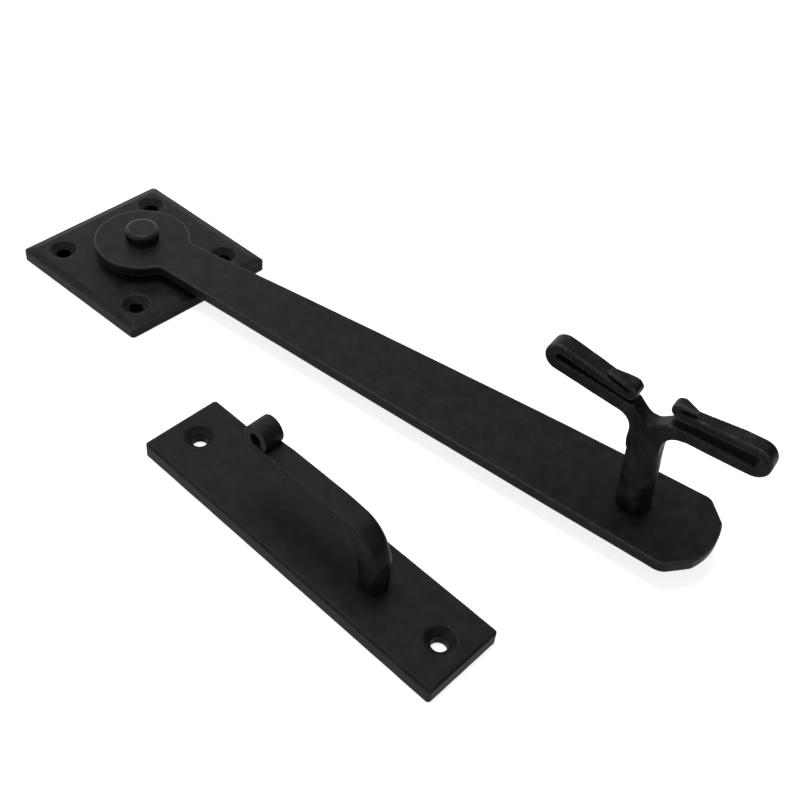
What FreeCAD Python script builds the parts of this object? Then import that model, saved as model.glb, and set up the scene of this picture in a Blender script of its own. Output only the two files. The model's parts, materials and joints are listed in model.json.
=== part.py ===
import FreeCAD, Part
import math
import os

# Hand-forged drop gate latch, laid out on its back as a pair: a latch arm that turns on a square
# pivot plate, and the keeper plate whose hook catches it. Millimetres, +Z up. The origin is on the
# pivot axis at the back face of the pivot plate, and +X runs along the plate's edge to the keeper.

V = FreeCAD.Vector
UP = V(0, 0, 1)

# Fits and edges
PIVOT_PLAY = 0.08
TENON_FIT = 0.04
END_PLAY = 0.1
PEEN_FLARE = 2.0
PEEN_DEPTH = 1.5

# Pivot plate, hand-cut a little out of square, with four countersunk screw holes in a square
PLATE_SIDE = 76.2
PLATE_FRONT_DRAWN = (3.4, 1.0)
PLATE_BACK_DRAWN = (1.2, 1.3)
PLATE_THICK = 6.2
PLATE_BEVEL = 3.8
PLATE_BEVEL_DROP = 1.2
PLATE_CORNER_R = 2.0
PLATE_SCREW_PITCH = 52.6

# Wood screws that both plates take
SCREW_BORE = 6.6
SCREW_SINK = 12.9
SINK_ANGLE = 104.0

# Rivet that the arm turns on, and the washer that holds the arm off the plate
RIVET_SHANK = 10.0
RIVET_HEAD = 15.4
RIVET_HEAD_HIGH = 6.0
RIVET_HEAD_ROUND = 1.8
WASHER_OD = 24.0
WASHER_THICK = 3.2

# Latch bar: a round eye, a short neck and a blade that widens to a clipped tip
ARM_ANGLE = 7.7
BAR_THICK = 5.3
BAR_EDGE = 0.5
EYE_R = 22.1
NECK_R = 4.6
BLADE_REACH = 292.2
NECK_HALF_FAR = 12.1
NECK_HALF_NEAR = 10.4
BLADE_HALF_FAR = 22.5
BLADE_HALF_NEAR = 21.1
BLADE_BULGE_FAR = 1.7
BLADE_BULGE_NEAR = 0.5
TIP_FAR_BACK = 10.6
TIP_FAR_R = 4.5
TIP_CLIP_BACK = 1.8
TIP_CLIP_SIDE = 13.0
TIP_CLIP_R = 2.5
TIP_NOSE_SIDE = 1.4
TIP_NEAR_CLIP_BACK = 3.3
TIP_NEAR_CLIP_SIDE = 11.8
TIP_NEAR_BACK = 12.2
TIP_NEAR_R = 7.0

# Lifting handle: a round post, split at the top into two straps that are folded into loops
HANDLE_BACK = 38.4
POST_FOOT_R = 7.4
POST_TOP_R = 7.0
POST_LEAN = 3.4
FISHTAIL_HIGH = 15.6
HANDLE_TENON = 9.0
HANDLE_EDGE = 0.6
CROTCH_R = 7.0
FORK_FADE = 8.0
SADDLE_HIGH = 45.2
SADDLE_R = 3.6
SADDLE_ANGLE = 40.0
ROOT_REACH = 14.0
ROOT_WIDE = 8.4
STATION_IN = 12.0
STATION_OUT = 38.0
LOOP_REACH = 46.0

# Its straps, away from the pivot and towards it: heights, gaps and thicknesses at the two stations
OUTER_WIDE = 7.4
OUTER_FOLD_WIDE = 5.2
OUTER_TIP_WIDE = 2.0
OUTER_UNDER = (44.6, 44.9)
OUTER_LOWER = (5.4, 5.0)
OUTER_GAP = (3.9, 4.5)
OUTER_UPPER = (3.9, 4.3)
OUTER_SLIT = (1.0, 4.2)
OUTER_TIP = (2.1, -1.5)
OUTER_FOLD_REACH = 5.2
OUTER_TIP_REACH = 15.2
INNER_WIDE = 8.4
INNER_FOLD_WIDE = 7.2
INNER_TIP_WIDE = 4.2
INNER_UNDER = (44.7, 48.4)
INNER_LOWER = (6.3, 5.5)
INNER_GAP = (0.6, 2.6)
INNER_UPPER = (3.8, 4.4)
INNER_SLIT = (0.8, 3.3)
INNER_TIP = (2.2, -0.5)
INNER_FOLD_REACH = 7.3
INNER_TIP_REACH = 20.0

# Keeper plate, beside the arm, with a screw hole at each end
KEEPER_ALONG = 173.3
KEEPER_ASIDE = -61.9
KEEPER_TURN = -1.7
KEEPER_LONG = 156.3
KEEPER_WIDE = 37.0
KEEPER_THICK = 7.0
KEEPER_BEVEL = 1.0
KEEPER_BEVEL_DROP = 0.8
KEEPER_CORNER_R = 1.5
KEEPER_SCREW_PITCH = 132.2

# Keeper hook: a round leg bent over into a flat strap, whose end is rolled into an eye
LEG_PLACE = 32.0
LEG_ASIDE = 0.8
LEG_THICK = 12.2
HOOK_THROAT = 23.8
HOOK_TENON = 8.0
HOOK_EDGE = 0.6
STRAP_WIDE = 10.8
STRAP_THICK = 4.4
STRAP_END_THICK = 3.5
BEND_OUTER_R = 17.0
BEND_INNER_R = 9.0
ROUND_LEG_HIGH = 5.0
SQUARE_LEG_HIGH = 18.0
ROLL_PLACE = -28.3
ROLL_HOLE_R = 2.9
ROLL_WIDE = 9.4
ROLL_TIP_THICK = 2.9
ROLL_GAP = 0.3

# Heights of the stack on the pivot
BAR_BASE = PLATE_THICK + WASHER_THICK
BAR_TOP = BAR_BASE + BAR_THICK
RIVET_HEAD_BASE = BAR_TOP + END_PLAY
HANDLE_PLACE = BLADE_REACH - HANDLE_BACK


def sloping(inner, outer):
    """A nearly level line in side view, as its height at x = 0 and its slope."""
    slope = (outer - inner) / (STATION_OUT - STATION_IN)
    return inner - slope * STATION_IN, slope


def raised(line, by):
    return sloping(height(line, STATION_IN) + by[0], height(line, STATION_OUT) + by[1])


def height(line, x):
    return line[0] + line[1] * x


def bend(lower, upper, reach, way):
    """The circle that touches two nearly level lines and just reaches x = reach on its way side.

    Returns the touching point on the lower line, the reached point and the point on the upper line.
    """
    low_slant = math.hypot(1, lower[1])
    up_slant = math.hypot(1, upper[1])
    closing = lower[1] - upper[1]
    radius = (upper[0] - lower[0] - closing * reach) / (low_slant + up_slant - way * closing)
    x = reach - way * radius
    z = height(lower, x) + low_slant * radius
    on_lower = V(x + radius * lower[1] / low_slant, 0, z - radius / low_slant)
    on_upper = V(x - radius * upper[1] / up_slant, 0, z + radius / up_slant)
    return on_lower, V(reach, 0, z), on_upper


def corner(x, line, radius, way):
    """The arc that turns from the upright line at x to a nearly level line, on the way side of x."""
    slant = math.hypot(1, line[1])
    centre = V(x + way * radius, 0, 0)
    centre.z = height(line, centre.x) - radius * slant
    on_line = V(centre.x - radius * line[1] / slant, 0, centre.z + radius / slant)
    start = V(x, 0, centre.z)
    return start, arc_middle(centre, start, on_line), on_line


def arc_middle(centre, start, end):
    """The point halfway along the shorter arc about centre from start to end."""
    spoke = start - centre
    return centre + (spoke + (end - centre)).normalize() * spoke.Length


def arc_edge(start, middle, end):
    return Part.Arc(start, middle, end).toShape()


def line_edge(start, end):
    return Part.LineSegment(start, end).toShape()


def slab(edges, width):
    """A closed side view in the XZ plane, given its width evenly about y = 0."""
    face = Part.Face(Part.Wire(edges))
    face.translate(V(0, -width / 2, 0))
    return face.extrude(V(0, width, 0))


def polygon(points):
    return [line_edge(a, b) for a, b in zip(points, points[1:] + points[:1])]


def cheeks(start, end, reach):
    """Two upright wedges that narrow a slab from one (x, half width) pair to another."""
    outline = [V(*start, 0), V(*end, 0), V(reach, end[1], 0), V(reach, 2 * start[1], 0),
               V(start[0], 2 * start[1], 0)]
    wedge = Part.Face(Part.Wire(polygon(outline))).extrude(UP * 2 * BLADE_REACH)
    return [wedge, wedge.mirror(V(0, 0, 0), V(0, 1, 0))]


def fading_corners(foot, round_r, corner_r, high):
    """What is cut off a square part's corners, so that they fade into a round part below."""
    around = Part.makeCylinder(2 * corner_r, high, foot)
    return around.cut(Part.makeCone(round_r, corner_r, high, foot))


def upright_edges(solid, foot):
    """The upright edge of a flat plate, above or below the given point of its outline."""
    return [e for e in solid.Edges if e.BoundBox.ZLength > 0.001
            and math.hypot(e.BoundBox.Center.x - foot.x, e.BoundBox.Center.y - foot.y) < 0.001]


def eased_slab(edges, width, bevel, ends=()):
    """A slab with its long edges eased by a bevel, apart from those along the lines in ends."""
    solid = slab(edges, width)
    plain = [(e.Vertexes[0].Point + e.Vertexes[-1].Point) / 2 for e in ends]
    long = [e for e in solid.Edges if e.BoundBox.YLength < 0.001
            and not any(on_line(e, p) for p in plain)]
    return solid.makeChamfer(bevel, long)


def on_line(edge, point):
    middle = (edge.Vertexes[0].Point + edge.Vertexes[-1].Point) / 2
    return math.hypot(middle.x - point.x, middle.z - point.z) < 0.001


def drilled(solid, x, y, top, bore, sink):
    """Cuts a countersunk hole from the given top height down through the solid."""
    depth = (sink - bore) / 2 / math.tan(math.radians(SINK_ANGLE / 2))
    hole = Part.makeCylinder(bore / 2, top + 2, V(x, y, -1))
    cone = Part.makeCone(bore / 2, sink / 2, depth, V(x, y, top - depth))
    mouth = Part.makeCylinder(sink / 2, 1, V(x, y, top))
    return solid.cut(hole.fuse([cone, mouth]))


def oblong(long, wide):
    """The corners of a rectangle about the origin, anticlockwise from the +X +Y one."""
    return [V(sx * long / 2, sy * wide / 2, 0) for sx, sy in ((1, 1), (-1, 1), (-1, -1), (1, -1))]


def corner_sides(corners):
    """Each corner with the directions of the two sides that leave it, and half the angle there."""
    for before, tip, after in zip(corners[-1:] + corners[:-1], corners, corners[1:] + corners[:1]):
        back = (before - tip).normalize()
        on = (after - tip).normalize()
        yield tip, back, on, back.getAngle(on) / 2


def inset(corners, by):
    """The corners of the outline whose sides lie that far inside."""
    return [tip + (back + on).normalize() * (by / math.sin(half))
            for tip, back, on, half in corner_sides(corners)]


def rounded_outline(corners, radius, z):
    arcs = []
    for tip, back, on, half in corner_sides(corners):
        reach = radius / math.tan(half)
        middle = (back + on).normalize() * (radius / math.sin(half) - radius)
        arcs.append(arc_edge(tip + back * reach, tip + middle, tip + on * reach))
    sides = [line_edge(p.Vertexes[-1].Point, q.Vertexes[0].Point)
             for p, q in zip(arcs, arcs[1:] + arcs[:1])]
    outline = Part.Wire([e for pair in zip(arcs, sides) for e in pair])
    outline.translate(V(0, 0, z))
    return outline


def bevelled_plate(corners, thick, bevel, drop, radius):
    """A flat plate whose top edges slope down over the bevel's width."""
    low = thick - drop
    body = Part.Face(rounded_outline(corners, radius, 0)).extrude(V(0, 0, low))
    rim = rounded_outline(corners, radius, low)
    crown = rounded_outline(inset(corners, bevel), radius, thick)
    return body.fuse(Part.makeLoft([rim, crown], True, True)).removeSplitter()


def peened_tenon(diameter, base, top):
    """A tenon from its shoulder at top down to base, where its end is hammered out into a cone."""
    tenon = Part.makeCylinder(diameter / 2, top - base, V(0, 0, base))
    flare = Part.makeCone(diameter / 2 + PEEN_FLARE, diameter / 2, PEEN_DEPTH, V(0, 0, base))
    return tenon.fuse(flare)


def tenon_hole(diameter, base, top):
    """The hole that a peened tenon fills, with its own fit."""
    return peened_tenon(diameter + 2 * TENON_FIT, base, top + 1)


def pivot_plate():
    corners = oblong(PLATE_SIDE, PLATE_SIDE)
    corners[0] += V(*PLATE_FRONT_DRAWN, 0)
    corners[2] -= V(*PLATE_BACK_DRAWN, 0)
    plate = bevelled_plate(corners, PLATE_THICK, PLATE_BEVEL, PLATE_BEVEL_DROP, PLATE_CORNER_R)
    for sx in (-1, 1):
        for sy in (-1, 1):
            x = sx * PLATE_SCREW_PITCH / 2
            y = sy * PLATE_SCREW_PITCH / 2
            plate = drilled(plate, x, y, PLATE_THICK, SCREW_BORE, SCREW_SINK)
    return plate.cut(tenon_hole(RIVET_SHANK, 0, PLATE_THICK))


def pivot_rivet():
    shank = peened_tenon(RIVET_SHANK, 0, RIVET_HEAD_BASE)
    head = Part.makeCylinder(RIVET_HEAD / 2, RIVET_HEAD_HIGH, V(0, 0, RIVET_HEAD_BASE))
    rims = [e for e in head.Edges if e.BoundBox.ZMin > RIVET_HEAD_BASE + RIVET_HEAD_HIGH - 0.001]
    return shank.fuse(head.makeFillet(RIVET_HEAD_ROUND, rims)).removeSplitter()


def pivot_washer():
    ring = Part.makeCylinder(WASHER_OD / 2, WASHER_THICK, V(0, 0, PLATE_THICK))
    return ring.cut(Part.makeCylinder(RIVET_SHANK / 2 + PIVOT_PLAY, BAR_TOP))


def blade_side(half_root, half_end, bulge, back, side):
    """One side of the bar's outline: the neck's hollow and the long shallow arc of the blade.

    Returns the hollow's end on the round eye, the two edges, and the blade's end near the tip.
    """
    root = V(EYE_R, side * half_root, 0)
    end = V(BLADE_REACH - back, side * half_end, 0)
    blade = arc_edge(root, (root + end) / 2 + V(0, side * bulge, 0), end).Curve
    from_eye = EYE_R + NECK_R
    from_blade = blade.Radius + NECK_R
    spread = blade.Center.Length
    along = (spread ** 2 + from_eye ** 2 - from_blade ** 2) / (2 * spread)
    inward = blade.Center / spread
    onward = V(-inward.y, inward.x, 0) * math.copysign(1, -inward.y)
    hollow = inward * along + onward * math.sqrt(from_eye ** 2 - along ** 2)
    on_eye = hollow * (EYE_R / from_eye)
    on_blade = blade.Center + (hollow - blade.Center) * (blade.Radius / from_blade)
    neck = arc_edge(on_eye, arc_middle(hollow, on_eye, on_blade), on_blade)
    edge = arc_edge(on_blade, arc_middle(blade.Center, on_blade, end), end)
    return on_eye, [neck, edge], end


def latch_bar():
    far_eye, far_edges, far_end = blade_side(NECK_HALF_FAR, BLADE_HALF_FAR, BLADE_BULGE_FAR,
                                             TIP_FAR_BACK, 1)
    near_eye, near_edges, near_end = blade_side(NECK_HALF_NEAR, BLADE_HALF_NEAR,
                                                BLADE_BULGE_NEAR, TIP_NEAR_BACK, -1)
    clip = V(BLADE_REACH - TIP_CLIP_BACK, TIP_CLIP_SIDE, 0)
    nose = V(BLADE_REACH, TIP_NOSE_SIDE, 0)
    near_clip = V(BLADE_REACH - TIP_NEAR_CLIP_BACK, -TIP_NEAR_CLIP_SIDE, 0)
    outline = [
        arc_edge(far_eye, V(-EYE_R, 0, 0), near_eye),
        *near_edges,
        line_edge(near_end, near_clip),
        arc_edge(near_clip, nose, clip),
        line_edge(clip, far_end),
        *reversed(far_edges),
    ]
    bar = Part.Face(Part.Wire(outline)).extrude(V(0, 0, BAR_THICK))
    bar = bar.makeFillet(TIP_FAR_R, upright_edges(bar, far_end))
    bar = bar.makeFillet(TIP_CLIP_R, upright_edges(bar, clip))
    bar = bar.makeFillet(TIP_NEAR_R, upright_edges(bar, near_clip))
    bar = bar.makeFillet(TIP_NEAR_R, upright_edges(bar, near_end))
    rims = [e for e in bar.Edges if e.BoundBox.ZLength < 0.001]
    bar = bar.makeChamfer(BAR_EDGE, rims)
    bar.translate(V(0, 0, BAR_BASE))
    bar = bar.cut(Part.makeCylinder(RIVET_SHANK / 2 + PIVOT_PLAY, 2 * BAR_TOP))
    hole = tenon_hole(HANDLE_TENON, BAR_BASE, BAR_TOP)
    hole.translate(V(HANDLE_PLACE + POST_LEAN, 0, 0))
    return bar.cut(hole)


class Strap:
    """One strap of the handle, folded into a loop that narrows on its far side towards the tip.

    Its lines run outwards from the fork, as heights above the bar at the two stations.
    """

    def __init__(self, side, wide, fold_wide, tip_wide, under, lower, gap, upper, slit, tip,
                 fold_reach, tip_reach):
        self.side = side
        self.wide = wide
        self.fold_wide = fold_wide
        self.tip_wide = tip_wide
        self.tip_reach = tip_reach
        self.gap = gap
        self.slit = slit
        self.under = sloping(BAR_TOP + under[0], BAR_TOP + under[1])
        self.lower_top = raised(self.under, lower)
        self.upper_under = raised(self.lower_top, gap)
        self.upper_top = raised(self.upper_under, upper)
        self.tip_under = raised(self.upper_top, slit)
        self.tip_top = raised(self.tip_under, tip)
        loop_wall = (lower[1] + upper[1]) / 2
        self.loop_outside = bend(self.under, self.upper_top, LOOP_REACH, 1)
        self.loop_inside = bend(self.lower_top, self.upper_under, LOOP_REACH - loop_wall, 1)
        self.fold_outside = bend(self.upper_under, self.tip_top, fold_reach, -1)
        self.fold_inside = bend(self.upper_top, self.tip_under, fold_reach + upper[0], -1)

    def side_view(self):
        """The strap's two ends, at the fork and at its tip, and the long lines between them."""
        under = point_on(self.under, ROOT_REACH)
        root = point_on(self.lower_top, ROOT_REACH)
        tip_under = point_on(self.tip_under, self.tip_reach)
        tip_top = point_on(self.tip_top, self.tip_reach)
        outside = [
            line_edge(under, self.loop_outside[0]),
            arc_edge(*self.loop_outside),
            line_edge(self.loop_outside[2], self.fold_inside[0]),
            arc_edge(*self.fold_inside),
            line_edge(self.fold_inside[2], tip_under),
        ]
        inside = [
            line_edge(tip_top, self.fold_outside[2]),
            arc_edge(*reversed(self.fold_outside)),
            line_edge(self.fold_outside[0], self.loop_inside[2]),
            arc_edge(*reversed(self.loop_inside)),
            line_edge(self.loop_inside[0], root),
        ]
        return line_edge(root, under), outside, line_edge(tip_under, tip_top), inside

    def beyond(self, line, floor):
        """What lies on the far side of a line in plan, above a nearly level floor line."""
        ends = (line[0].x, line[-1].x)
        high = V(0, 0, 2 * floor[0])
        plan = polygon([*line, *[V(x, 2 * self.wide, 0) for x in reversed(ends)]])
        above = polygon([*[point_on(floor, x) for x in ends],
                         *[V(x, 0, high.z) for x in reversed(ends)]])
        return Part.Face(Part.Wire(plan)).extrude(high).common(slab(above, 4 * self.wide))

    def solid(self):
        start, outside, end, inside = self.side_view()
        strap = eased_slab([start, *outside, end, *inside], self.wide, HANDLE_EDGE, [start, end])
        near = -self.wide / 2
        loop_start = V(self.loop_inside[2].x, self.wide / 2, 0)
        fold_start = V(self.fold_inside[1].x, near + self.fold_wide, 0)
        fold_end = V(self.fold_outside[1].x - self.wide, fold_start.y, 0)
        tip = V(self.tip_reach + self.wide, 0, 0)
        narrowing = (self.fold_wide - self.tip_wide) / (self.tip_reach - fold_start.x)
        tip.y = fold_start.y - narrowing * (tip.x - fold_start.x)
        gap_middle = raised(self.lower_top, [gap / 2 for gap in self.gap])
        slit_middle = raised(self.upper_top, [slit / 2 for slit in self.slit])
        strap = strap.cut([self.beyond([loop_start, fold_start, fold_end], gap_middle),
                           self.beyond([fold_start, tip], slit_middle)])
        return strap if self.side > 0 else strap.mirror(V(0, 0, 0), V(1, 0, 0))


def point_on(line, x):
    return V(x, 0, height(line, x))


def fork(outer, inner):
    """The flat head of the post, from one strap's root over the saddle to the other's."""
    right = corner(POST_TOP_R, outer.under, CROTCH_R, 1)
    left = corner(POST_TOP_R, inner.under, CROTCH_R, 1)
    right_side = saddle_side(outer)
    left_side = saddle_side(inner)
    bottom = V(0, 0, BAR_TOP + SADDLE_HIGH)
    right_root = [point_on(line, ROOT_REACH) for line in (outer.under, outer.lower_top)]
    left_root = [point_on(line, ROOT_REACH) for line in (inner.under, inner.lower_top)]
    ends = [line_edge(*right_root), line_edge(*[across(p) for p in reversed(left_root)])]
    foot = V(0, 0, right[0].z - FORK_FADE)
    base = line_edge(V(-POST_TOP_R, 0, foot.z), V(POST_TOP_R, 0, foot.z))
    head = eased_slab([
        base,
        line_edge(V(POST_TOP_R, 0, foot.z), right[0]),
        arc_edge(*right),
        line_edge(right[2], right_root[0]),
        ends[0],
        line_edge(right_root[1], right_side[1]),
        line_edge(right_side[1], right_side[0]),
        arc_edge(right_side[0], bottom, across(left_side[0])),
        line_edge(across(left_side[0]), across(left_side[1])),
        line_edge(across(left_side[1]), across(left_root[1])),
        ends[1],
        line_edge(across(left_root[0]), across(left[2])),
        arc_edge(*[across(p) for p in reversed(left)]),
        line_edge(across(left[0]), V(-POST_TOP_R, 0, foot.z)),
    ], ROOT_WIDE, HANDLE_EDGE, ends + [base])
    corner_r = math.hypot(POST_TOP_R, ROOT_WIDE / 2)
    return head.cut([
        fading_corners(foot, POST_TOP_R, corner_r, FORK_FADE),
        *cheeks((CROTCH_R, ROOT_WIDE / 2), (ROOT_REACH, outer.wide / 2), 2 * ROOT_REACH),
    ])


def across(point):
    """The same point on the other side of the post."""
    return V(-point.x, point.y, point.z)


def saddle_side(strap):
    """The end of the saddle's rounded bottom, and the lip where its slope meets the strap."""
    slope = math.radians(SADDLE_ANGLE)
    low = V(SADDLE_R * math.sin(slope), 0, BAR_TOP + SADDLE_HIGH + SADDLE_R * (1 - math.cos(slope)))
    rise = math.tan(slope)
    lip_x = (strap.lower_top[0] - low.z + rise * low.x) / (rise - strap.lower_top[1])
    return low, point_on(strap.lower_top, lip_x)


def post(crotch_high):
    """The leaning round post, flattened towards the fork like a fish's tail."""
    foot = V(POST_LEAN, 0, BAR_TOP)
    head = V(0, 0, crotch_high)
    axis = (head - foot).normalize()
    buried = axis * POST_FOOT_R
    length = (head - foot).Length
    cone = Part.makeCone(POST_FOOT_R, POST_TOP_R, length + POST_FOOT_R, foot - buried, axis)
    top = BAR_TOP + SADDLE_HIGH
    # The leaning cone's end is tilted, so the upright neck starts below its low side
    lap = V(0, 0, 2 * POST_TOP_R * POST_LEAN / (head - foot).z)
    neck = Part.makeCylinder(POST_TOP_R, top - crotch_high + lap.z, head - lap)
    wide = 2 * POST_FOOT_R
    flat = top - FISHTAIL_HIGH
    front = Part.Face(Part.Wire(polygon([
        V(-wide, -wide, BAR_TOP), V(-wide, wide, BAR_TOP), V(-wide, wide, flat),
        V(-wide, POST_TOP_R, flat), V(-wide, ROOT_WIDE / 2, top),
        V(-wide, -ROOT_WIDE / 2, top), V(-wide, -POST_TOP_R, flat), V(-wide, -wide, flat),
    ]))).extrude(V(2 * wide, 0, 0))
    tenon = peened_tenon(HANDLE_TENON, BAR_BASE, BAR_TOP)
    tenon.translate(V(POST_LEAN, 0, 0))
    return cone.fuse(neck).common(front).fuse(tenon)


def lifting_handle():
    outer = Strap(1, OUTER_WIDE, OUTER_FOLD_WIDE, OUTER_TIP_WIDE, OUTER_UNDER, OUTER_LOWER,
                  OUTER_GAP, OUTER_UPPER, OUTER_SLIT, OUTER_TIP, OUTER_FOLD_REACH,
                  OUTER_TIP_REACH)
    inner = Strap(-1, INNER_WIDE, INNER_FOLD_WIDE, INNER_TIP_WIDE, INNER_UNDER, INNER_LOWER,
                  INNER_GAP, INNER_UPPER, INNER_SLIT, INNER_TIP, INNER_FOLD_REACH,
                  INNER_TIP_REACH)
    crotch_high = corner(POST_TOP_R, outer.under, CROTCH_R, 1)[0].z
    handle = post(crotch_high)
    for piece in (fork(outer, inner), outer.solid(), inner.solid()):
        handle = handle.fuse(piece)
    handle.translate(V(HANDLE_PLACE, 0, 0))
    return handle


def keeper_plate():
    plate = bevelled_plate(oblong(KEEPER_LONG, KEEPER_WIDE), KEEPER_THICK, KEEPER_BEVEL,
                           KEEPER_BEVEL_DROP, KEEPER_CORNER_R)
    for sx in (-1, 1):
        plate = drilled(plate, sx * KEEPER_SCREW_PITCH / 2, 0, KEEPER_THICK, SCREW_BORE, SCREW_SINK)
    hole = tenon_hole(HOOK_TENON, 0, KEEPER_THICK)
    hole.translate(V(LEG_PLACE, LEG_ASIDE, 0))
    return plate.cut(hole)


def hook_side_view():
    """The hook seen from the side: leg, bend, thinning strap and rolled eye."""
    top = (KEEPER_THICK + HOOK_THROAT + STRAP_THICK, 0)
    leg_inside = LEG_PLACE - LEG_THICK / 2
    leg_outside = LEG_PLACE + LEG_THICK / 2
    slope = (STRAP_END_THICK - STRAP_THICK) / (leg_inside - ROLL_PLACE)
    under = (top[0] - STRAP_END_THICK - slope * ROLL_PLACE, slope)
    outside = corner(leg_outside, top, BEND_OUTER_R, -1)
    inside = corner(leg_inside, under, BEND_INNER_R, -1)
    centre = V(ROLL_PLACE, 0, top[0] + ROLL_HOLE_R)
    outer_r = ROLL_HOLE_R + STRAP_END_THICK
    crown = centre + UP * outer_r
    tip_r = outer_r - (STRAP_END_THICK - ROLL_TIP_THICK)
    tip_centre = crown - UP * tip_r
    drop = math.asin((tip_centre.z - top[0] - ROLL_GAP) / tip_r)
    tip_way = V(math.cos(drop), 0, -math.sin(drop))
    tip_outside = tip_centre + tip_way * tip_r
    tip_inside = centre + tip_way * ROLL_HOLE_R
    hole_foot = centre - UP * ROLL_HOLE_R
    roll_foot = V(ROLL_PLACE, 0, height(under, ROLL_PLACE))
    return [
        line_edge(V(leg_inside, 0, KEEPER_THICK), V(leg_outside, 0, KEEPER_THICK)),
        line_edge(V(leg_outside, 0, KEEPER_THICK), outside[0]),
        arc_edge(*outside),
        line_edge(outside[2], hole_foot),
        arc_edge(hole_foot, centre - V(ROLL_HOLE_R, 0, 0), tip_inside),
        line_edge(tip_inside, tip_outside),
        arc_edge(tip_outside, arc_middle(tip_centre, tip_outside, crown), crown),
        arc_edge(crown, centre - V(outer_r, 0, 0), roll_foot),
        line_edge(roll_foot, inside[2]),
        arc_edge(*reversed(inside)),
        line_edge(inside[0], V(leg_inside, 0, KEEPER_THICK)),
    ]


def leg_taper(top_r):
    """The leg's round foot and, above it, a cone that ends with the given radius."""
    foot = V(LEG_PLACE, 0, KEEPER_THICK)
    round_part = Part.makeCylinder(LEG_THICK / 2, ROUND_LEG_HIGH, foot)
    return round_part.fuse(Part.makeCone(LEG_THICK / 2, top_r, SQUARE_LEG_HIGH - ROUND_LEG_HIGH,
                                         foot + UP * ROUND_LEG_HIGH))


def keeper_hook():
    side_view = hook_side_view()
    hook = eased_slab(side_view, STRAP_WIDE, HOOK_EDGE, [side_view[0], side_view[5]])
    foot = V(LEG_PLACE, 0, KEEPER_THICK)
    corner_r = math.hypot(LEG_THICK, STRAP_WIDE) / 2
    around_leg = Part.makeCylinder(2 * corner_r, SQUARE_LEG_HIGH, foot).cut(leg_taper(corner_r))
    roll_start = ROLL_PLACE + 2 * ROLL_HOLE_R
    hook = hook.cut([
        around_leg,
        *cheeks((roll_start + ROLL_WIDE, STRAP_WIDE / 2), (roll_start, ROLL_WIDE / 2),
                ROLL_PLACE - ROLL_WIDE),
    ])
    tenon = peened_tenon(HOOK_TENON, 0, KEEPER_THICK)
    tenon.translate(V(LEG_PLACE, 0, 0))
    hook = hook.fuse([leg_taper(STRAP_WIDE / 2 - HOOK_EDGE), tenon])
    hook.translate(V(0, LEG_ASIDE, 0))
    return hook


def placed(shape, turn, place):
    """The one solid of a shape, turned about the vertical and moved into the common frame."""
    solid = shape.removeSplitter().Solids[0].copy()
    solid.rotate(V(0, 0, 0), UP, turn)
    solid.translate(place)
    return solid


def main():
    os.makedirs("parts", exist_ok=True)
    pivot = V(0, 0, 0)
    keeper = V(KEEPER_ALONG, KEEPER_ASIDE, 0)
    nodes = {
        "pivot_plate": placed(pivot_plate(), 0, pivot),
        "pivot_rivet": placed(pivot_rivet(), 0, pivot),
        "pivot_washer": placed(pivot_washer(), 0, pivot),
        "latch_bar": placed(latch_bar(), ARM_ANGLE, pivot),
        "lifting_handle": placed(lifting_handle(), ARM_ANGLE, pivot),
        "keeper_plate": placed(keeper_plate(), KEEPER_TURN, keeper),
        "keeper_hook": placed(keeper_hook(), KEEPER_TURN, keeper),
    }
    for name, solid in nodes.items():
        print(name, len(solid.Faces), solid.isValid(), round(solid.Volume, 1))
        solid.exportStep(os.path.join("parts", name + ".step"))


main()
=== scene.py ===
import json
import math

import bmesh
import bpy
from bpy.props import FloatProperty, FloatVectorProperty, IntProperty, PointerProperty
from mathutils import Matrix, Vector

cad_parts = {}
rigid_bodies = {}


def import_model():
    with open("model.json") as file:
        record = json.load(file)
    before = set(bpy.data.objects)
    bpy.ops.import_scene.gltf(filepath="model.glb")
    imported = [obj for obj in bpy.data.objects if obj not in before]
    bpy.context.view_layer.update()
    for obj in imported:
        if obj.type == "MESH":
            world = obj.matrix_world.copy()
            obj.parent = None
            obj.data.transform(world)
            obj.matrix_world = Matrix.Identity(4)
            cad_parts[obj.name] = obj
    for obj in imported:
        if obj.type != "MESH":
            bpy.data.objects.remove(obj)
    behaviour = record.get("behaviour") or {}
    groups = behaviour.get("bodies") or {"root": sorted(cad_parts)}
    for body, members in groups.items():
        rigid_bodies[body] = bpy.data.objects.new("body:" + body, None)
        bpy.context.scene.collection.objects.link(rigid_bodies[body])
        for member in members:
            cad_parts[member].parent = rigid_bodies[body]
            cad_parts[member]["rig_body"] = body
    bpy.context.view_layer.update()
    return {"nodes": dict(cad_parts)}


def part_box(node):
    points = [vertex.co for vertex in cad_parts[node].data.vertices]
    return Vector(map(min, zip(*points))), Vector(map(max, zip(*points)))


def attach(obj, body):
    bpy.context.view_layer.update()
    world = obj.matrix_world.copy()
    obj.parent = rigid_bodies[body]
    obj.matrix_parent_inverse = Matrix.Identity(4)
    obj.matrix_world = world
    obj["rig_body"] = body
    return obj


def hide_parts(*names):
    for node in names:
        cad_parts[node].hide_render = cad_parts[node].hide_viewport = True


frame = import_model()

bl_info = {
    "name": "Forged drop gate latch",
    "version": (1, 0, 0),
    "blender": (4, 5, 0),
    "location": "3D View > Sidebar > Latch",
    "description": "Dresses the latch arm, its pivot, the keeper plate and the hook as ironwork",
    "category": "Add Mesh",
}

# Corners of a CAD mesh that lie closer than this are one
WELD = 1e-6

# Each round of smoothing moves a corner this share of the way to its neighbours' middle
ROUND_SHARE = 0.5

# Nearly all of the noise lies within this spread below this height, so hammering takes iron away,
# and no deeper than is asked for, at all but a few spots
NOISE_HIGH = 0.75
NOISE_SPREAD = 0.5

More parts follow.
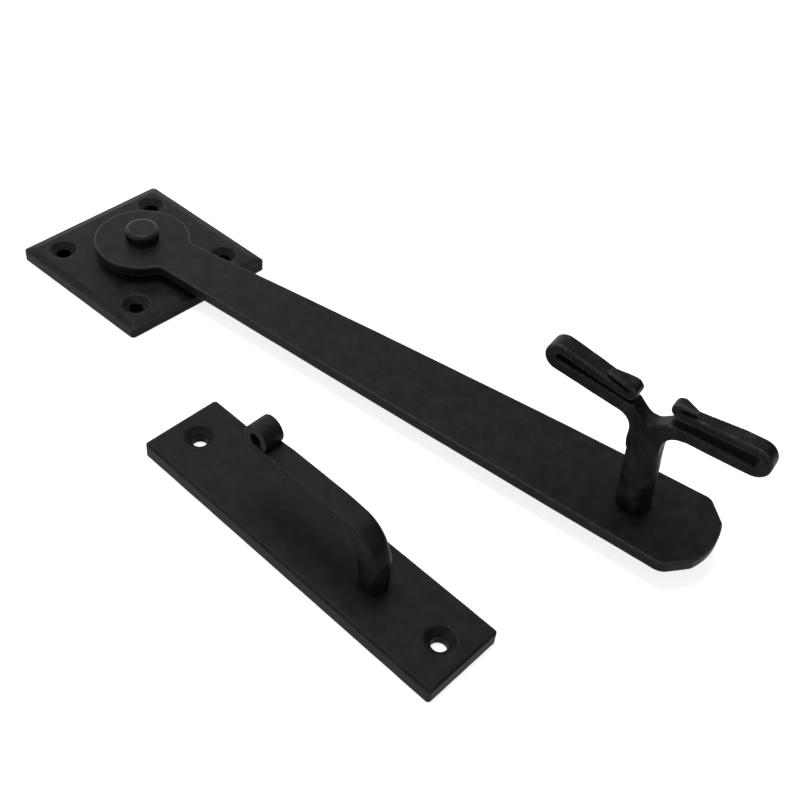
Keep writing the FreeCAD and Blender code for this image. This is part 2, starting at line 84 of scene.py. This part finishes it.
# Marks that the forged surface leaves for the paint (its rubbed and highlighted arrises, and the
# painted shade in its hollows), and the rounds of blur that both of them use
ARRIS = "arris"
HOLLOW_SHADE = "hollow_shade"
MARK_BLUR = 3

# An arris stands out of its blurred surface by this much, and the mark starts at this share of it
ARRIS_WIDTH = 0.00012
ARRIS_START = 0.3

# How far off the surface the rays for the painted shade in the hollows start, how near to more iron
# its mark starts, as a share of their reach, and how fast it grows from there
RAY_LIFT = 0.0005
HOLLOW_SHADE_START = 0.12
HOLLOW_SHADE_GAIN = 3.5

# The paint's gloss
PAINT_IOR = 1.45
PAINT_SPECULAR = 0.07

# Clouds in the paint: how far they thin it, and how much duller they make it
CLOUD_MIDDLE = 0.5
CLOUD_LIFT = 0.075
CLOUD_THINNING = 0.7
CLOUD_DULLNESS = 0.25

# The grain breaks up the rubbed paint and painted highlight on the arrises, and in the hollows the
# paint is painted black as shade and made duller
GRAIN_LIFT = 0.4
HOLLOW_DULLNESS = 0.4
PAINTED_SHADE = (0.001, 0.001, 0.001, 1.0)

# Rounds of smoothing for a drawn-out edge and for the handle's fork, how high the fork lies, how
# far round it the smoothing reaches, and how fast it grows towards the middle
EDGE_ROUNDS = 3
FORK_ROUNDS = 40
FORK_HIGH = 0.0575
FORK_REACH = 0.021
FORK_GROWTH = 1.5

# The keeper's place on the base
KEEPER_PLACE = Vector((0.1733, -0.0619, 0.0))
KEEPER_TURN = math.radians(-1.7)

# The hook's bar, measured from the keeper's place: where its strap's top, its leg's outer face,
# its bend and its sides lie
STRAP_TOP = 0.0352
LEG_OUTSIDE = 0.0381
LEG_ASIDE = 0.0008
BEND_R = 0.017
HOOK_HALF_WIDE = 0.0054

# Its rounded shoulder: where it begins, its radius there, and how the radius grows along the bar
SHOULDER_START = 0.009
SHOULDER_R = 0.0007
SHOULDER_SLOPE = 0.06
SHOULDER_CURVE = 3.5

# The floor: its reach, its depth under the part, its own grey, and the glow that makes it white
FLOOR_REACH = 6.0
FLOOR_DROP = 0.0002
FLOOR_GREY = 0.6
FLOOR_LIFT = 0.8
WHITE = (1.0, 1.0, 1.0, 1.0)

# The dark card under the pivot plate, painted shade that its screw holes show
SHADE_CARD_RIM = 0.006
SHADE_CARD_DROP = 0.0001
SHADE_CARD_GREY = 0.002

# The upright flag beyond the tip
FLAG_NEAR = Vector((0.95, 0.00, 0.0))
FLAG_FAR = Vector((0.25, 1.05, 0.0))
FLAG_HIGH = Vector((0.0, 0.0, 0.5))
FLAG_GREY = 0.1

# The point that every lamp shines at
LAMP_AIM = Vector((0.05, 0.0, 0.0))


# Settings


class LatchPaint(bpy.types.PropertyGroup):
    """The black paint on the ironwork."""

    paint: FloatVectorProperty(
        name="Paint",
        description="Colour of the black paint",
        subtype="COLOR",
        size=3,
        default=(0.005, 0.005, 0.005),
    )
    # Lighter paint along the arrises: paint rubbed thin there, and a painted highlight
    worn_and_highlight: FloatVectorProperty(
        name="Worn paint and highlight",
        description="Colour along the arrises, where handling thins the paint and where it stands in for a painted highlight",
        subtype="COLOR",
        size=3,
        default=(0.06, 0.06, 0.06),
    )
    sheen: FloatProperty(
        name="Roughness",
        description="Roughness of the satin paint",
        default=0.40,
        min=0.0,
        max=1.0,
    )
    mottle_size: FloatProperty(
        name="Mottle size",
        description="Size of the cloudy patches in the paint",
        default=0.007,
        unit="LENGTH",
    )
    grain_size: FloatProperty(
        name="Grain size",
        description="Size of the grain that the paint leaves",
        default=0.0007,
        unit="LENGTH",
    )


class LatchForging(bpy.types.PropertyGroup):
    """How far the hammer shows on the ironwork."""

    fine: FloatProperty(
        name="Fine mesh",
        description="Mesh size of the small forged pieces",
        default=0.00036,
        unit="LENGTH",
    )
    coarse: FloatProperty(
        name="Coarse mesh",
        description="Mesh size of the flat bar and the plates",
        default=0.0006,
        unit="LENGTH",
    )
    softness: IntProperty(
        name="Softness",
        description="Rounds of smoothing that ease the arrises",
        default=1,
        min=0,
    )
    dent_size: FloatProperty(
        name="Dent size",
        description="Width of a hammer dent",
        default=0.009,
        unit="LENGTH",
    )
    dent_depth: FloatProperty(
        name="Dent depth",
        description="Depth of a hammer dent",
        default=0.00008,
        unit="LENGTH",
    )
    wave_size: FloatProperty(
        name="Wave length",
        description="Length of the slow waves along a drawn-out edge",
        default=0.045,
        unit="LENGTH",
    )
    wave_depth: FloatProperty(
        name="Wave depth",
        description="Depth of the slow waves",
        default=0.00025,
        unit="LENGTH",
    )


class LatchStage(bpy.types.PropertyGroup):
    """Camera, floor and light."""

    camera_place: FloatVectorProperty(
        name="Camera place",
        description="Where the camera stands",
        subtype="TRANSLATION",
        unit="LENGTH",
        size=3,
        default=(0.3600, -0.2697, 0.3634),
    )
    camera_aim: FloatVectorProperty(
        name="Camera aim",
        description="The point on the floor in the middle of the picture",
        subtype="TRANSLATION",
        unit="LENGTH",
        size=3,
        default=(0.1453, 0.0209, 0.0),
    )
    camera_roll: FloatProperty(
        name="Camera roll",
        description="How far the camera is turned about its own line of sight",
        subtype="ANGLE",
        default=math.radians(7.43),
    )
    camera_lens: FloatProperty(
        name="Focal length",
        description="Focal length of the camera in millimetres",
        default=52.99,
    )
    room_light: FloatProperty(
        name="Room light",
        description="Strength of the even light from all round",
        default=0.3,
        min=0.0,
    )
    top_power: FloatProperty(
        name="Top lamp",
        description="Power of the large soft lamp overhead, in watts",
        default=10.9,
        min=0.0,
    )
    back_power: FloatProperty(
        name="Back lamp",
        description="Power of the large soft lamp behind the pivot plate, in watts",
        default=2.95,
        min=0.0,
    )
    front_power: FloatProperty(
        name="Front lamp",
        description="Power of the large soft lamp beside the camera, in watts",
        default=2.1,
        min=0.0,
    )
    rim_power: FloatProperty(
        name="Rim lamp",
        description="Power of the low lamp behind that glints on the far arrises, in watts",
        default=1.2,
        min=0.0,
    )


SETTINGS = {"latch_paint": LatchPaint, "latch_forging": LatchForging, "latch_stage": LatchStage}


# Node helpers


def add_node(tree, kind, inputs=None, **settings):
    """A node with its settings and inputs; an input is a value or another node's output."""
    node = tree.nodes.new(kind)
    for name, value in settings.items():
        setattr(node, name, value)
    for key, value in (inputs or {}).items():
        socket = node.inputs[key]
        if isinstance(value, bpy.types.NodeSocket):
            tree.links.new(value, socket)
        else:
            socket.default_value = value
    return node


def add_math(tree, operation, a, b=0.0, clamp=False):
    """The result of a Math node."""
    node = add_node(tree, "ShaderNodeMath", {0: a, 1: b}, operation=operation, use_clamp=clamp)
    return node.outputs[0]


def add_sockets(tree, sockets):
    """Named inputs and outputs: (name, "INPUT" or "OUTPUT", type, default)."""
    for name, way, kind, default in sockets:
        socket = tree.interface.new_socket(name, in_out=way, socket_type="NodeSocket" + kind)
        if default is not None:
            socket.default_value = default


# Forged surface


def blurred(tree, value, data_type):
    """The value, evened out between neighbouring corners."""
    return add_node(tree, "GeometryNodeBlurAttribute", {
        "Value": value,
        "Iterations": MARK_BLUR,
    }, data_type=data_type).outputs["Value"]


def arris_mark(tree, place, normal, width):
    """1 where the surface bends outwards sharply, 0 where it is flat."""
    bulge = add_node(tree, "ShaderNodeVectorMath", {
        0: place,
        1: blurred(tree, place, "FLOAT_VECTOR"),
    }, operation="SUBTRACT").outputs["Vector"]
    out = add_node(tree, "ShaderNodeVectorMath", {0: bulge, 1: normal},
                   operation="DOT_PRODUCT").outputs["Value"]
    share = add_math(tree, "DIVIDE", out, width)
    return add_math(tree, "SUBTRACT", share, ARRIS_START, clamp=True)


def hollow_shade_mark(tree, place, normal, surface, reach):
    """1 where the surface faces more iron close by, 0 where it faces none within reach; there the
    paint is painted black as shade.
    """
    clear = add_node(tree, "ShaderNodeVectorMath", {0: normal, "Scale": RAY_LIFT},
                     operation="SCALE").outputs["Vector"]
    facing = add_node(tree, "GeometryNodeRaycast", {
        "Target Geometry": surface,
        "Source Position": add_node(tree, "ShaderNodeVectorMath",
                                    {0: place, 1: clear}).outputs["Vector"],
        "Ray Direction": normal,
        "Ray Length": reach,
    }).outputs
    distance = add_math(tree, "DIVIDE", facing["Hit Distance"], reach)
    nearness = add_math(tree, "SUBTRACT", 1.0, distance)
    shut = add_math(tree, "MULTIPLY", nearness, facing["Is Hit"], clamp=True)
    deep = add_math(tree, "SUBTRACT", blurred(tree, shut, "FLOAT"), HOLLOW_SHADE_START)
    return add_math(tree, "MULTIPLY", deep, HOLLOW_SHADE_GAIN, clamp=True)


def forged_surface():
    """Geometry Nodes that hammer a surface, and mark its arrises for rubbed paint and a painted
    highlight, and its hollows for painted shade.
    """
    tree = bpy.data.node_groups.new("Forged surface", "GeometryNodeTree")
    tree.is_modifier = True
    add_sockets(tree, [
        ("Geometry", "INPUT", "Geometry", None),
        ("Dent Size", "INPUT", "Float", 0.01),
        ("Dent Depth", "INPUT", "Float", 0.0001),
        ("Wave Length", "INPUT", "Float", 0.04),
        ("Wave Depth", "INPUT", "Float", 0.0002),
        ("Arris Width", "INPUT", "Float", 0.0003),
        ("Hollow Shade Reach", "INPUT", "Float", 0.0065),
        ("Seed", "INPUT", "Float", 0.0),
        ("Material", "INPUT", "Material", None),
        ("Geometry", "OUTPUT", "Geometry", None),
    ])
    given = add_node(tree, "NodeGroupInput").outputs
    place = add_node(tree, "GeometryNodeInputPosition").outputs["Position"]
    normal = add_node(tree, "GeometryNodeInputNormal").outputs["Normal"]

    def bumps(size, depth, detail):
        noise = add_node(tree, "ShaderNodeTexNoise", {
            "Vector": place,
            "W": given["Seed"],
            "Scale": add_math(tree, "DIVIDE", 1.0, given[size]),
            "Detail": detail,
        }, noise_dimensions="4D")
        hollow = add_math(tree, "SUBTRACT", noise.outputs[0], NOISE_HIGH)
        return add_math(tree, "MULTIPLY", hollow, given[depth])

    rise = add_math(tree, "ADD", bumps("Dent Size", "Dent Depth", detail=1.0),
                    bumps("Wave Length", "Wave Depth", detail=0.0))
    shift = add_node(tree, "ShaderNodeVectorMath", {
        0: normal,
        "Scale": add_math(tree, "DIVIDE", rise, NOISE_SPREAD),
    }, operation="SCALE").outputs["Vector"]
    surface = add_node(tree, "GeometryNodeSetPosition", {
        "Geometry": given["Geometry"],
        "Offset": shift,
    }).outputs["Geometry"]
    marks = {
        ARRIS: arris_mark(tree, place, normal, given["Arris Width"]),
        HOLLOW_SHADE: hollow_shade_mark(tree, place, normal, surface, given["Hollow Shade Reach"]),
    }
    for name, value in marks.items():
        surface = add_node(tree, "GeometryNodeStoreNamedAttribute", {
            "Geometry": surface,
            "Name": name,
            "Value": value,
        }, data_type="FLOAT", domain="POINT").outputs["Geometry"]
    smooth = add_node(tree, "GeometryNodeSetShadeSmooth", {"Geometry": surface})
    real = add_node(tree, "GeometryNodeRealizeInstances", {"Geometry": smooth.outputs[0]})
    painted = add_node(tree, "GeometryNodeSetMaterial", {
        "Geometry": real.outputs[0],
        "Material": given["Material"],
    })
    add_node(tree, "NodeGroupOutput", {"Geometry": painted.outputs[0]})
    return tree


def set_inputs(modifier, values):
    """Sets a Geometry Nodes modifier's inputs by the names of their sockets."""
    for socket in modifier.node_group.interface.items_tree:
        if socket.item_type == "SOCKET" and socket.in_out == "INPUT" and socket.name in values:
            modifier[socket.identifier] = values[socket.name]


def applied(obj):
    """The object with its modifiers made part of its mesh."""
    bpy.context.view_layer.update()
    graph = bpy.context.evaluated_depsgraph_get()
    mesh = bpy.data.meshes.new_from_object(obj.evaluated_get(graph))
    obj.modifiers.clear()
    obj.data = mesh
    mesh.name = obj.name
    return obj


def merged_copy(node, name):
    """A closed copy of a CAD node's mesh, whose triangles share their corners."""
    mesh = bpy.data.meshes.new(name)
    shape = bmesh.new()
    shape.from_mesh(frame["nodes"][node].data)
    bmesh.ops.remove_doubles(shape, verts=shape.verts, dist=WELD)
    bmesh.ops.recalc_face_normals(shape, faces=shape.faces)
    shape.to_mesh(mesh)
    shape.free()
    obj = bpy.data.objects.new(name, mesh)
    bpy.context.scene.collection.objects.link(obj)
    return obj


def remeshed(obj, size):
    """Even quads all over, with straight arrises, so that the surface can be eased and hammered."""
    longest = max(obj.dimensions)
    remesh = obj.modifiers.new("Even mesh", "REMESH")
    remesh.mode = "SHARP"
    remesh.octree_depth = math.ceil(math.log2(longest / size))
    remesh.scale = longest / size / 2 ** remesh.octree_depth
    remesh.use_remove_disconnected = False
    return applied(obj)


def eased(obj, rounds, centre=None, reach=0.0):
    """Arrises eased by rounds of smoothing, all over or only within reach of a centre."""
    smooth = obj.modifiers.new("Eased arrises", "SMOOTH")
    smooth.factor = ROUND_SHARE
    smooth.iterations = rounds
    if centre is not None:
        group = obj.vertex_groups.new(name="eased")
        smooth.vertex_group = group.name
        for vertex in obj.data.vertices:
            share = FORK_GROWTH * (1.0 - (vertex.co - centre).length / reach)
            group.add([vertex.index], min(1.0, max(0.0, share)), "REPLACE")
    eased_obj = applied(obj)
    eased_obj.vertex_groups.clear()
    return eased_obj


def hammered(obj, forging, material, seed, dents=1.0, waves=0.0, arris=ARRIS_WIDTH):
    """Hammer dents, slow waves and the paint's marks on a piece."""
    modifier = obj.modifiers.new("Forged surface", "NODES")
    modifier.node_group = bpy.data.node_groups.get("Forged surface") or forged_surface()
    set_inputs(modifier, {
        "Dent Size": forging.dent_size,
        "Dent Depth": forging.dent_depth * dents,
        "Wave Length": forging.wave_size,
        "Wave Depth": forging.wave_depth * waves,
        "Arris Width": arris,
        "Seed": seed,
        "Material": material,
    })
    return applied(obj)


def stand_in(obj, node):
    """The piece takes the CAD node's place on its body."""
    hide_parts(node)
    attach(obj, frame["nodes"][node]["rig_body"])


# Paint


def mixed(tree, share, one, other):
    """The colour that lies the given share of the way from one colour to the other."""
    mix = tree.nodes.new("ShaderNodeMix")
    mix.data_type = "RGBA"
    sockets = [mix.inputs["Factor"], *[s for s in mix.inputs if s.type == "RGBA"]]
    for socket, value in zip(sockets, (share, one, other)):
        if isinstance(value, bpy.types.NodeSocket):
            tree.links.new(value, socket)
        else:
            socket.default_value = value
    return [s for s in mix.outputs if s.type == "RGBA"][0]


def forged_paint():
    """Shader group: cloudy black paint with grain, rubbed thin along the arrises, where it also
    paints a highlight, and painted black as shade in the hollows.
    """
    tree = bpy.data.node_groups.new("Forged paint", "ShaderNodeTree")
    add_sockets(tree, [
        ("Paint", "INPUT", "Color", (0.004, 0.004, 0.004, 1.0)),
        ("Worn Paint And Highlight", "INPUT", "Color", (0.02, 0.02, 0.02, 1.0)),
        ("Arris", "INPUT", "Float", 0.0),
        ("Hollow Shade", "INPUT", "Float", 0.0),
        ("Wear And Highlight", "INPUT", "Float", 0.5),
        ("Mottle Size", "INPUT", "Float", 0.01),
        ("Mottle", "INPUT", "Float", 0.5),
        ("Grain Size", "INPUT", "Float", 0.0007),
        ("Grain Depth", "INPUT", "Float", 0.00002),
        ("Roughness", "INPUT", "Float", 0.45),
        ("Color", "OUTPUT", "Color", None),
        ("Roughness", "OUTPUT", "Float", None),
        ("Height", "OUTPUT", "Float", None),
    ])
    given = add_node(tree, "NodeGroupInput").outputs
    place = add_node(tree, "ShaderNodeTexCoord").outputs["Object"]

    def noise(size, detail, rough=0.5):
        return add_node(tree, "ShaderNodeTexNoise", {
            "Vector": place,
            "Scale": add_math(tree, "DIVIDE", 1.0, given[size]),
            "Detail": detail,
            "Roughness": rough,
        }).outputs[0]

    cloud = noise("Mottle Size", detail=5.0, rough=0.6)
    grain = noise("Grain Size", detail=2.0)
    swing = add_math(tree, "SUBTRACT", cloud, CLOUD_MIDDLE)
    cloudy = add_math(tree, "MULTIPLY", swing, given["Mottle"])
    # The arrises are painted lighter: rubbed paint, and a painted highlight along them, broken up
    # by the grain
    rub_and_highlight = add_math(tree, "MULTIPLY", given["Arris"], given["Wear And Highlight"])
    holding = add_math(tree, "ADD", grain, GRAIN_LIFT)
    broken_rub_and_highlight = add_math(tree, "MULTIPLY", rub_and_highlight, holding, clamp=True)
    # Painted shade: where the surface faces more iron close by, the paint turns black and its
    # clouds fade
    unshaded_share = add_math(tree, "SUBTRACT", 1.0, given["Hollow Shade"])
    base = mixed(tree, unshaded_share, PAINTED_SHADE, given["Paint"])
    thinned = add_math(tree, "MULTIPLY", unshaded_share, add_math(tree, "ADD", cloudy, CLOUD_LIFT))
    thinning = add_math(tree, "MULTIPLY", thinned, CLOUD_THINNING, clamp=True)
    clouded = mixed(tree, thinning, base, given["Worn Paint And Highlight"])
    colour = mixed(tree, broken_rub_and_highlight, clouded, given["Worn Paint And Highlight"])
    duller = add_math(tree, "MULTIPLY", cloudy, CLOUD_DULLNESS)
    hollow_dullness = add_math(tree, "MULTIPLY", given["Hollow Shade"], HOLLOW_DULLNESS)
    uneven = add_math(tree, "ADD", given["Roughness"], duller)
    rough = add_math(tree, "ADD", uneven, hollow_dullness, clamp=True)
    height = add_math(tree, "MULTIPLY", grain, given["Grain Depth"])
    add_node(tree, "NodeGroupOutput", {
        "Color": colour,
        "Roughness": rough,
        "Height": height,
    })
    return tree


def paint_material(name, settings, wear_and_highlight=0.6, mottle=0.6, duller=0.0, bare_and_highlight=1.0):
    """Satin black paint over forged iron, with painted highlights along the arrises and painted
    shade in the hollows.
    """
    found = bpy.data.materials.get(name)
    if found:
        return found
    material = bpy.data.materials.new(name)
    material.use_nodes = True
    tree = material.node_tree
    shader = tree.nodes["Principled BSDF"]
    shader.inputs["IOR"].default_value = PAINT_IOR
    shader.inputs["Specular IOR Level"].default_value = PAINT_SPECULAR
    marks = {
        mark: add_node(tree, "ShaderNodeAttribute", attribute_name=mark).outputs["Fac"]
        for mark in (ARRIS, HOLLOW_SHADE)
    }
    group = bpy.data.node_groups.get("Forged paint") or forged_paint()
    paint = add_node(tree, "ShaderNodeGroup", {
        "Paint": (*settings.paint, 1.0),
        "Worn Paint And Highlight": (*[bare_and_highlight * part for part in settings.worn_and_highlight], 1.0),
        "Arris": marks[ARRIS],
        "Hollow Shade": marks[HOLLOW_SHADE],
        "Wear And Highlight": wear_and_highlight,
        "Mottle Size": settings.mottle_size,
        "Mottle": mottle,
        "Grain Size": settings.grain_size,
        "Roughness": settings.sheen + duller,
    }, node_tree=group).outputs
    bump = add_node(tree, "ShaderNodeBump",
                    {"Strength": 1.0, "Distance": 1.0, "Height": paint["Height"]})
    tree.links.new(paint["Color"], shader.inputs["Base Color"])
    tree.links.new(paint["Roughness"], shader.inputs["Roughness"])
    tree.links.new(bump.outputs["Normal"], shader.inputs["Normal"])
    return material


# Pieces


def even_copy(node, size):
    """An evenly meshed copy of a CAD node, ready to be forged."""
    return remeshed(merged_copy(node, "forged_" + node), size)


class LATCH_OT_plates(bpy.types.Operator):
    """Forge the pivot plate and the keeper plate"""

    bl_idname = "latch.plates"
    bl_label = "Plates"

    def execute(self, context):
        forging = context.scene.latch_forging
        for node, seed, wear_and_highlight, duller in (
            ("pivot_plate", 0.0, 0.6, 0.06),
            ("keeper_plate", 1.0, 0.15, 0.1),
        ):
            plate = eased(even_copy(node, forging.coarse), forging.softness)
            paint = paint_material(node + "_paint", context.scene.latch_paint, wear_and_highlight=wear_and_highlight,
                                   duller=duller)
            stand_in(hammered(plate, forging, paint, seed, dents=0.8), node)
        return {"FINISHED"}


class LATCH_OT_pivot(bpy.types.Operator):
    """Forge the rivet and the washer that the arm turns on"""

    bl_idname = "latch.pivot"
    bl_label = "Rivet and washer"

    def execute(self, context):
        forging = context.scene.latch_forging
        # On the rivet the lighter arris paint is raised further, as rubbed paint and a painted
        # highlight on its rim
        paint = paint_material("pivot_paint", context.scene.latch_paint, wear_and_highlight=0.5, duller=-0.2,
                               bare_and_highlight=1.2)
        for node, seed, arris in (
            ("pivot_rivet", 2.0, 0.00004),
            ("pivot_washer", 3.0, ARRIS_WIDTH),
        ):
            piece = eased(even_copy(node, forging.fine), forging.softness)
            stand_in(hammered(piece, forging, paint, seed, arris=arris), node)
        return {"FINISHED"}


class LATCH_OT_bar(bpy.types.Operator):
    """Forge the latch bar"""

    bl_idname = "latch.bar"
    bl_label = "Latch bar"

    def execute(self, context):
        forging = context.scene.latch_forging
        bar = eased(even_copy("latch_bar", forging.coarse), forging.softness)
        paint = paint_material("latch_bar_paint", context.scene.latch_paint, duller=0.04)
        stand_in(hammered(bar, forging, paint, seed=5.0, waves=0.6), "latch_bar")
        return {"FINISHED"}


class LATCH_OT_handle(bpy.types.Operator):
    """Forge the lifting handle with its two folded loops"""

    bl_idname = "latch.handle"
    bl_label = "Lifting handle"

    def execute(self, context):
        forging = context.scene.latch_forging
        handle = eased(even_copy("lifting_handle", forging.fine), EDGE_ROUNDS * forging.softness)
        low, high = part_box("lifting_handle")
        fork = Vector(((low.x + high.x) / 2, (low.y + high.y) / 2, FORK_HIGH))
        handle = eased(handle, FORK_ROUNDS * forging.softness, fork, FORK_REACH)
        paint = paint_material("lifting_handle_paint", context.scene.latch_paint, wear_and_highlight=2.2,
                               mottle=1.8)
        handle = hammered(handle, forging, paint, seed=7.0, dents=2.5, waves=0.6, arris=0.00009)
        stand_in(handle, "lifting_handle")
        return {"FINISHED"}


def rounded_shoulder(obj):
    """Rounds the hook's outer arris away from the arm, more and more from the strap to the leg."""
    to_hook = Matrix.Rotation(-KEEPER_TURN, 4, "Z") @ Matrix.Translation(-KEEPER_PLACE)
    from_hook = to_hook.inverted()
    bend_x = LEG_OUTSIDE - BEND_R
    bend_z = STRAP_TOP - BEND_R
    for vertex in obj.data.vertices:
        at = to_hook @ vertex.co
        if at.x < bend_x:
            outward = Vector((0.0, 0.0, 1.0))
            depth = STRAP_TOP - at.z
            run = at.x - SHOULDER_START
        elif at.z > bend_z:
            spoke = Vector((at.x - bend_x, 0.0, at.z - bend_z))
            outward = spoke.normalized()
            depth = BEND_R - spoke.length
            run = bend_x - SHOULDER_START + BEND_R * math.atan2(spoke.x, spoke.z)
        else:
            outward = Vector((1.0, 0.0, 0.0))
            depth = LEG_OUTSIDE - at.x
            run = bend_x - SHOULDER_START + BEND_R * math.pi / 2 + bend_z - at.z
        radius = SHOULDER_R + SHOULDER_SLOPE * run + SHOULDER_CURVE * run ** 2
        radius = min(HOOK_HALF_WIDE, radius)
        across = at.y - LEG_ASIDE - (HOOK_HALF_WIDE - radius)
        up = radius - depth
        reach = math.hypot(across, up)
        if run > 0.0 and across > 0.0 and up > 0.0 and reach > radius:
            pull = 1.0 - radius / reach
            at -= pull * (across * Vector((0.0, 1.0, 0.0)) + up * outward)
            vertex.co = from_hook @ at
    return obj


class LATCH_OT_hook(bpy.types.Operator):
    """Forge the keeper hook with its rolled eye"""

    bl_idname = "latch.hook"
    bl_label = "Keeper hook"

    def execute(self, context):
        forging = context.scene.latch_forging
        hook = rounded_shoulder(even_copy("keeper_hook", forging.fine))
        hook = eased(hook, EDGE_ROUNDS * forging.softness)
        paint = paint_material("keeper_hook_paint", context.scene.latch_paint, wear_and_highlight=0.7,
                               duller=0.05)
        hook = hammered(hook, forging, paint, seed=9.0, dents=1.5, waves=0.4)
        stand_in(hook, "keeper_hook")
        return {"FINISHED"}


# Stage


def background_rays(tree):
    """1 for rays that see the background plainly: from the camera, a gloss or a clear body."""
    rays = add_node(tree, "ShaderNodeLightPath").outputs
    seen = add_math(tree, "MAXIMUM", rays["Is Camera Ray"], rays["Is Glossy Ray"])
    return add_math(tree, "MAXIMUM", seen, rays["Is Transmission Ray"])


def white_room(room_light):
    """A world that looks white, and lights the object evenly at the given strength."""
    world = bpy.data.worlds.new("White room")
    world.use_nodes = True
    tree = world.node_tree
    tree.nodes.clear()
    lit = add_node(tree, "ShaderNodeBackground", {"Color": WHITE, "Strength": room_light})
    seen = add_node(tree, "ShaderNodeBackground", {"Color": WHITE, "Strength": 1.0})
    both = add_node(tree, "ShaderNodeMixShader",
                    {0: background_rays(tree), 1: lit.outputs[0], 2: seen.outputs[0]})
    add_node(tree, "ShaderNodeOutputWorld", {"Surface": both.outputs[0]})
    bpy.context.scene.world = world


def card(name, corners, grey):
    """A flat matt card on the stage."""
    mesh = bpy.data.meshes.new(name)
    mesh.from_pydata(corners, [], [(0, 1, 2, 3)])
    obj = bpy.data.objects.new(name, mesh)
    bpy.context.scene.collection.objects.link(obj)
    material = bpy.data.materials.new(name)
    material.use_nodes = True
    shader = material.node_tree.nodes["Principled BSDF"]
    shader.inputs["Base Color"].default_value = (grey, grey, grey, 1.0)
    shader.inputs["Roughness"].default_value = 1.0
    shader.inputs["Specular IOR Level"].default_value = 0.0
    mesh.materials.append(material)
    return obj


def level_corners(low, high, height):
    """The corners of a level rectangle."""
    return [(low.x, low.y, height), (high.x, low.y, height), (high.x, high.y, height),
            (low.x, high.y, height)]


def pale_floor():
    """A wide white floor that keeps the object's soft shadow."""
    reach = Vector((FLOOR_REACH, FLOOR_REACH))
    floor = card("floor", level_corners(-reach, reach, -FLOOR_DROP), FLOOR_GREY)
    tree = floor.active_material.node_tree
    shader = tree.nodes["Principled BSDF"]
    shader.inputs["Emission Color"].default_value = WHITE
    lift = add_math(tree, "MULTIPLY", background_rays(tree), FLOOR_LIFT)
    tree.links.new(lift, shader.inputs["Emission Strength"])


def painted_shade_card():
    """A dark card under the pivot plate, painted shade that shows through its screw holes."""
    low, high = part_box("pivot_plate")
    rim = Vector((SHADE_CARD_RIM, SHADE_CARD_RIM, 0.0))
    card("painted_shade_card", level_corners(low + rim, high - rim, -SHADE_CARD_DROP), SHADE_CARD_GREY)


def side_flag():
    """The upright flag beyond the tip that darkens what turns away from the lamps.

    The camera doesn't see it.
    """
    corners = [FLAG_NEAR, FLAG_FAR, FLAG_FAR + FLAG_HIGH, FLAG_NEAR + FLAG_HIGH]
    flag = card("side_flag", corners, FLAG_GREY)
    flag.visible_camera = False


def soft_lamp(name, place, wide, high, power):
    """A soft lamp, round or oval, that shines at the object."""
    data = bpy.data.lights.new(name, "AREA")
    data.shape = "ELLIPSE"
    data.size = wide
    data.size_y = high
    data.energy = power
    lamp = bpy.data.objects.new(name, data)
    lamp.location = place
    lamp.rotation_euler = (LAMP_AIM - lamp.location).to_track_quat("-Z", "Y").to_euler()
    bpy.context.scene.collection.objects.link(lamp)


class LATCH_OT_stage(bpy.types.Operator):
    """Set up the floor, the light and the camera"""

    bl_idname = "latch.stage"
    bl_label = "Stage"

    def execute(self, context):
        stage = context.scene.latch_stage
        white_room(stage.room_light)
        pale_floor()
        painted_shade_card()
        side_flag()
        for name, place, wide, high, power in (
            ("top_lamp", (-0.15, 0.10, 1.20), 0.8, 0.8, stage.top_power),
            ("back_lamp", (-0.85, 0.33, 0.82), 1.3, 0.8, stage.back_power),
            ("front_lamp", (-0.35, -1.05, 0.50), 0.8, 0.8, stage.front_power),
            ("rim_lamp", (-1.00, 0.75, 0.20), 0.8, 0.25, stage.rim_power),
        ):
            soft_lamp(name, place, wide, high, power)
        data = bpy.data.cameras.new("camera")
        data.lens = stage.camera_lens
        data.sensor_width = 36.0
        data.clip_start = 0.01
        camera = bpy.data.objects.new("camera", data)
        bpy.context.scene.collection.objects.link(camera)
        place = Vector(stage.camera_place)
        look = (Vector(stage.camera_aim) - place).to_track_quat("-Z", "Y").to_matrix().to_4x4()
        camera.matrix_world = (Matrix.Translation(place) @ look
                               @ Matrix.Rotation(stage.camera_roll, 4, "Z"))
        context.scene.camera = camera
        context.scene.view_settings.view_transform = "Standard"
        return {"FINISHED"}


class LATCH_PT_sidebar(bpy.types.Panel):
    """The latch's settings, and a button for each of its pieces"""

    bl_label = "Drop gate latch"
    bl_idname = "LATCH_PT_sidebar"
    bl_space_type = "VIEW_3D"
    bl_region_type = "UI"
    bl_category = "Latch"

    def draw(self, context):
        for group in SETTINGS:
            box = self.layout.box()
            settings = getattr(context.scene, group)
            for name in settings.__annotations__:
                box.prop(settings, name)
        for operator in OPERATORS:
            self.layout.operator(operator.bl_idname)


OPERATORS = (LATCH_OT_plates, LATCH_OT_pivot, LATCH_OT_bar, LATCH_OT_handle, LATCH_OT_hook,
             LATCH_OT_stage)
CLASSES = (*SETTINGS.values(), *OPERATORS, LATCH_PT_sidebar)


def register():
    for cls in CLASSES:
        bpy.utils.register_class(cls)
    for name, settings in SETTINGS.items():
        setattr(bpy.types.Scene, name, PointerProperty(type=settings))


def unregister():
    for name in SETTINGS:
        delattr(bpy.types.Scene, name)
    for cls in reversed(CLASSES):
        bpy.utils.unregister_class(cls)


def main():
    register()
    bpy.ops.latch.plates()
    bpy.ops.latch.pivot()
    bpy.ops.latch.bar()
    bpy.ops.latch.handle()
    bpy.ops.latch.hook()
    bpy.ops.latch.stage()


if __name__ == "__main__":
    main()
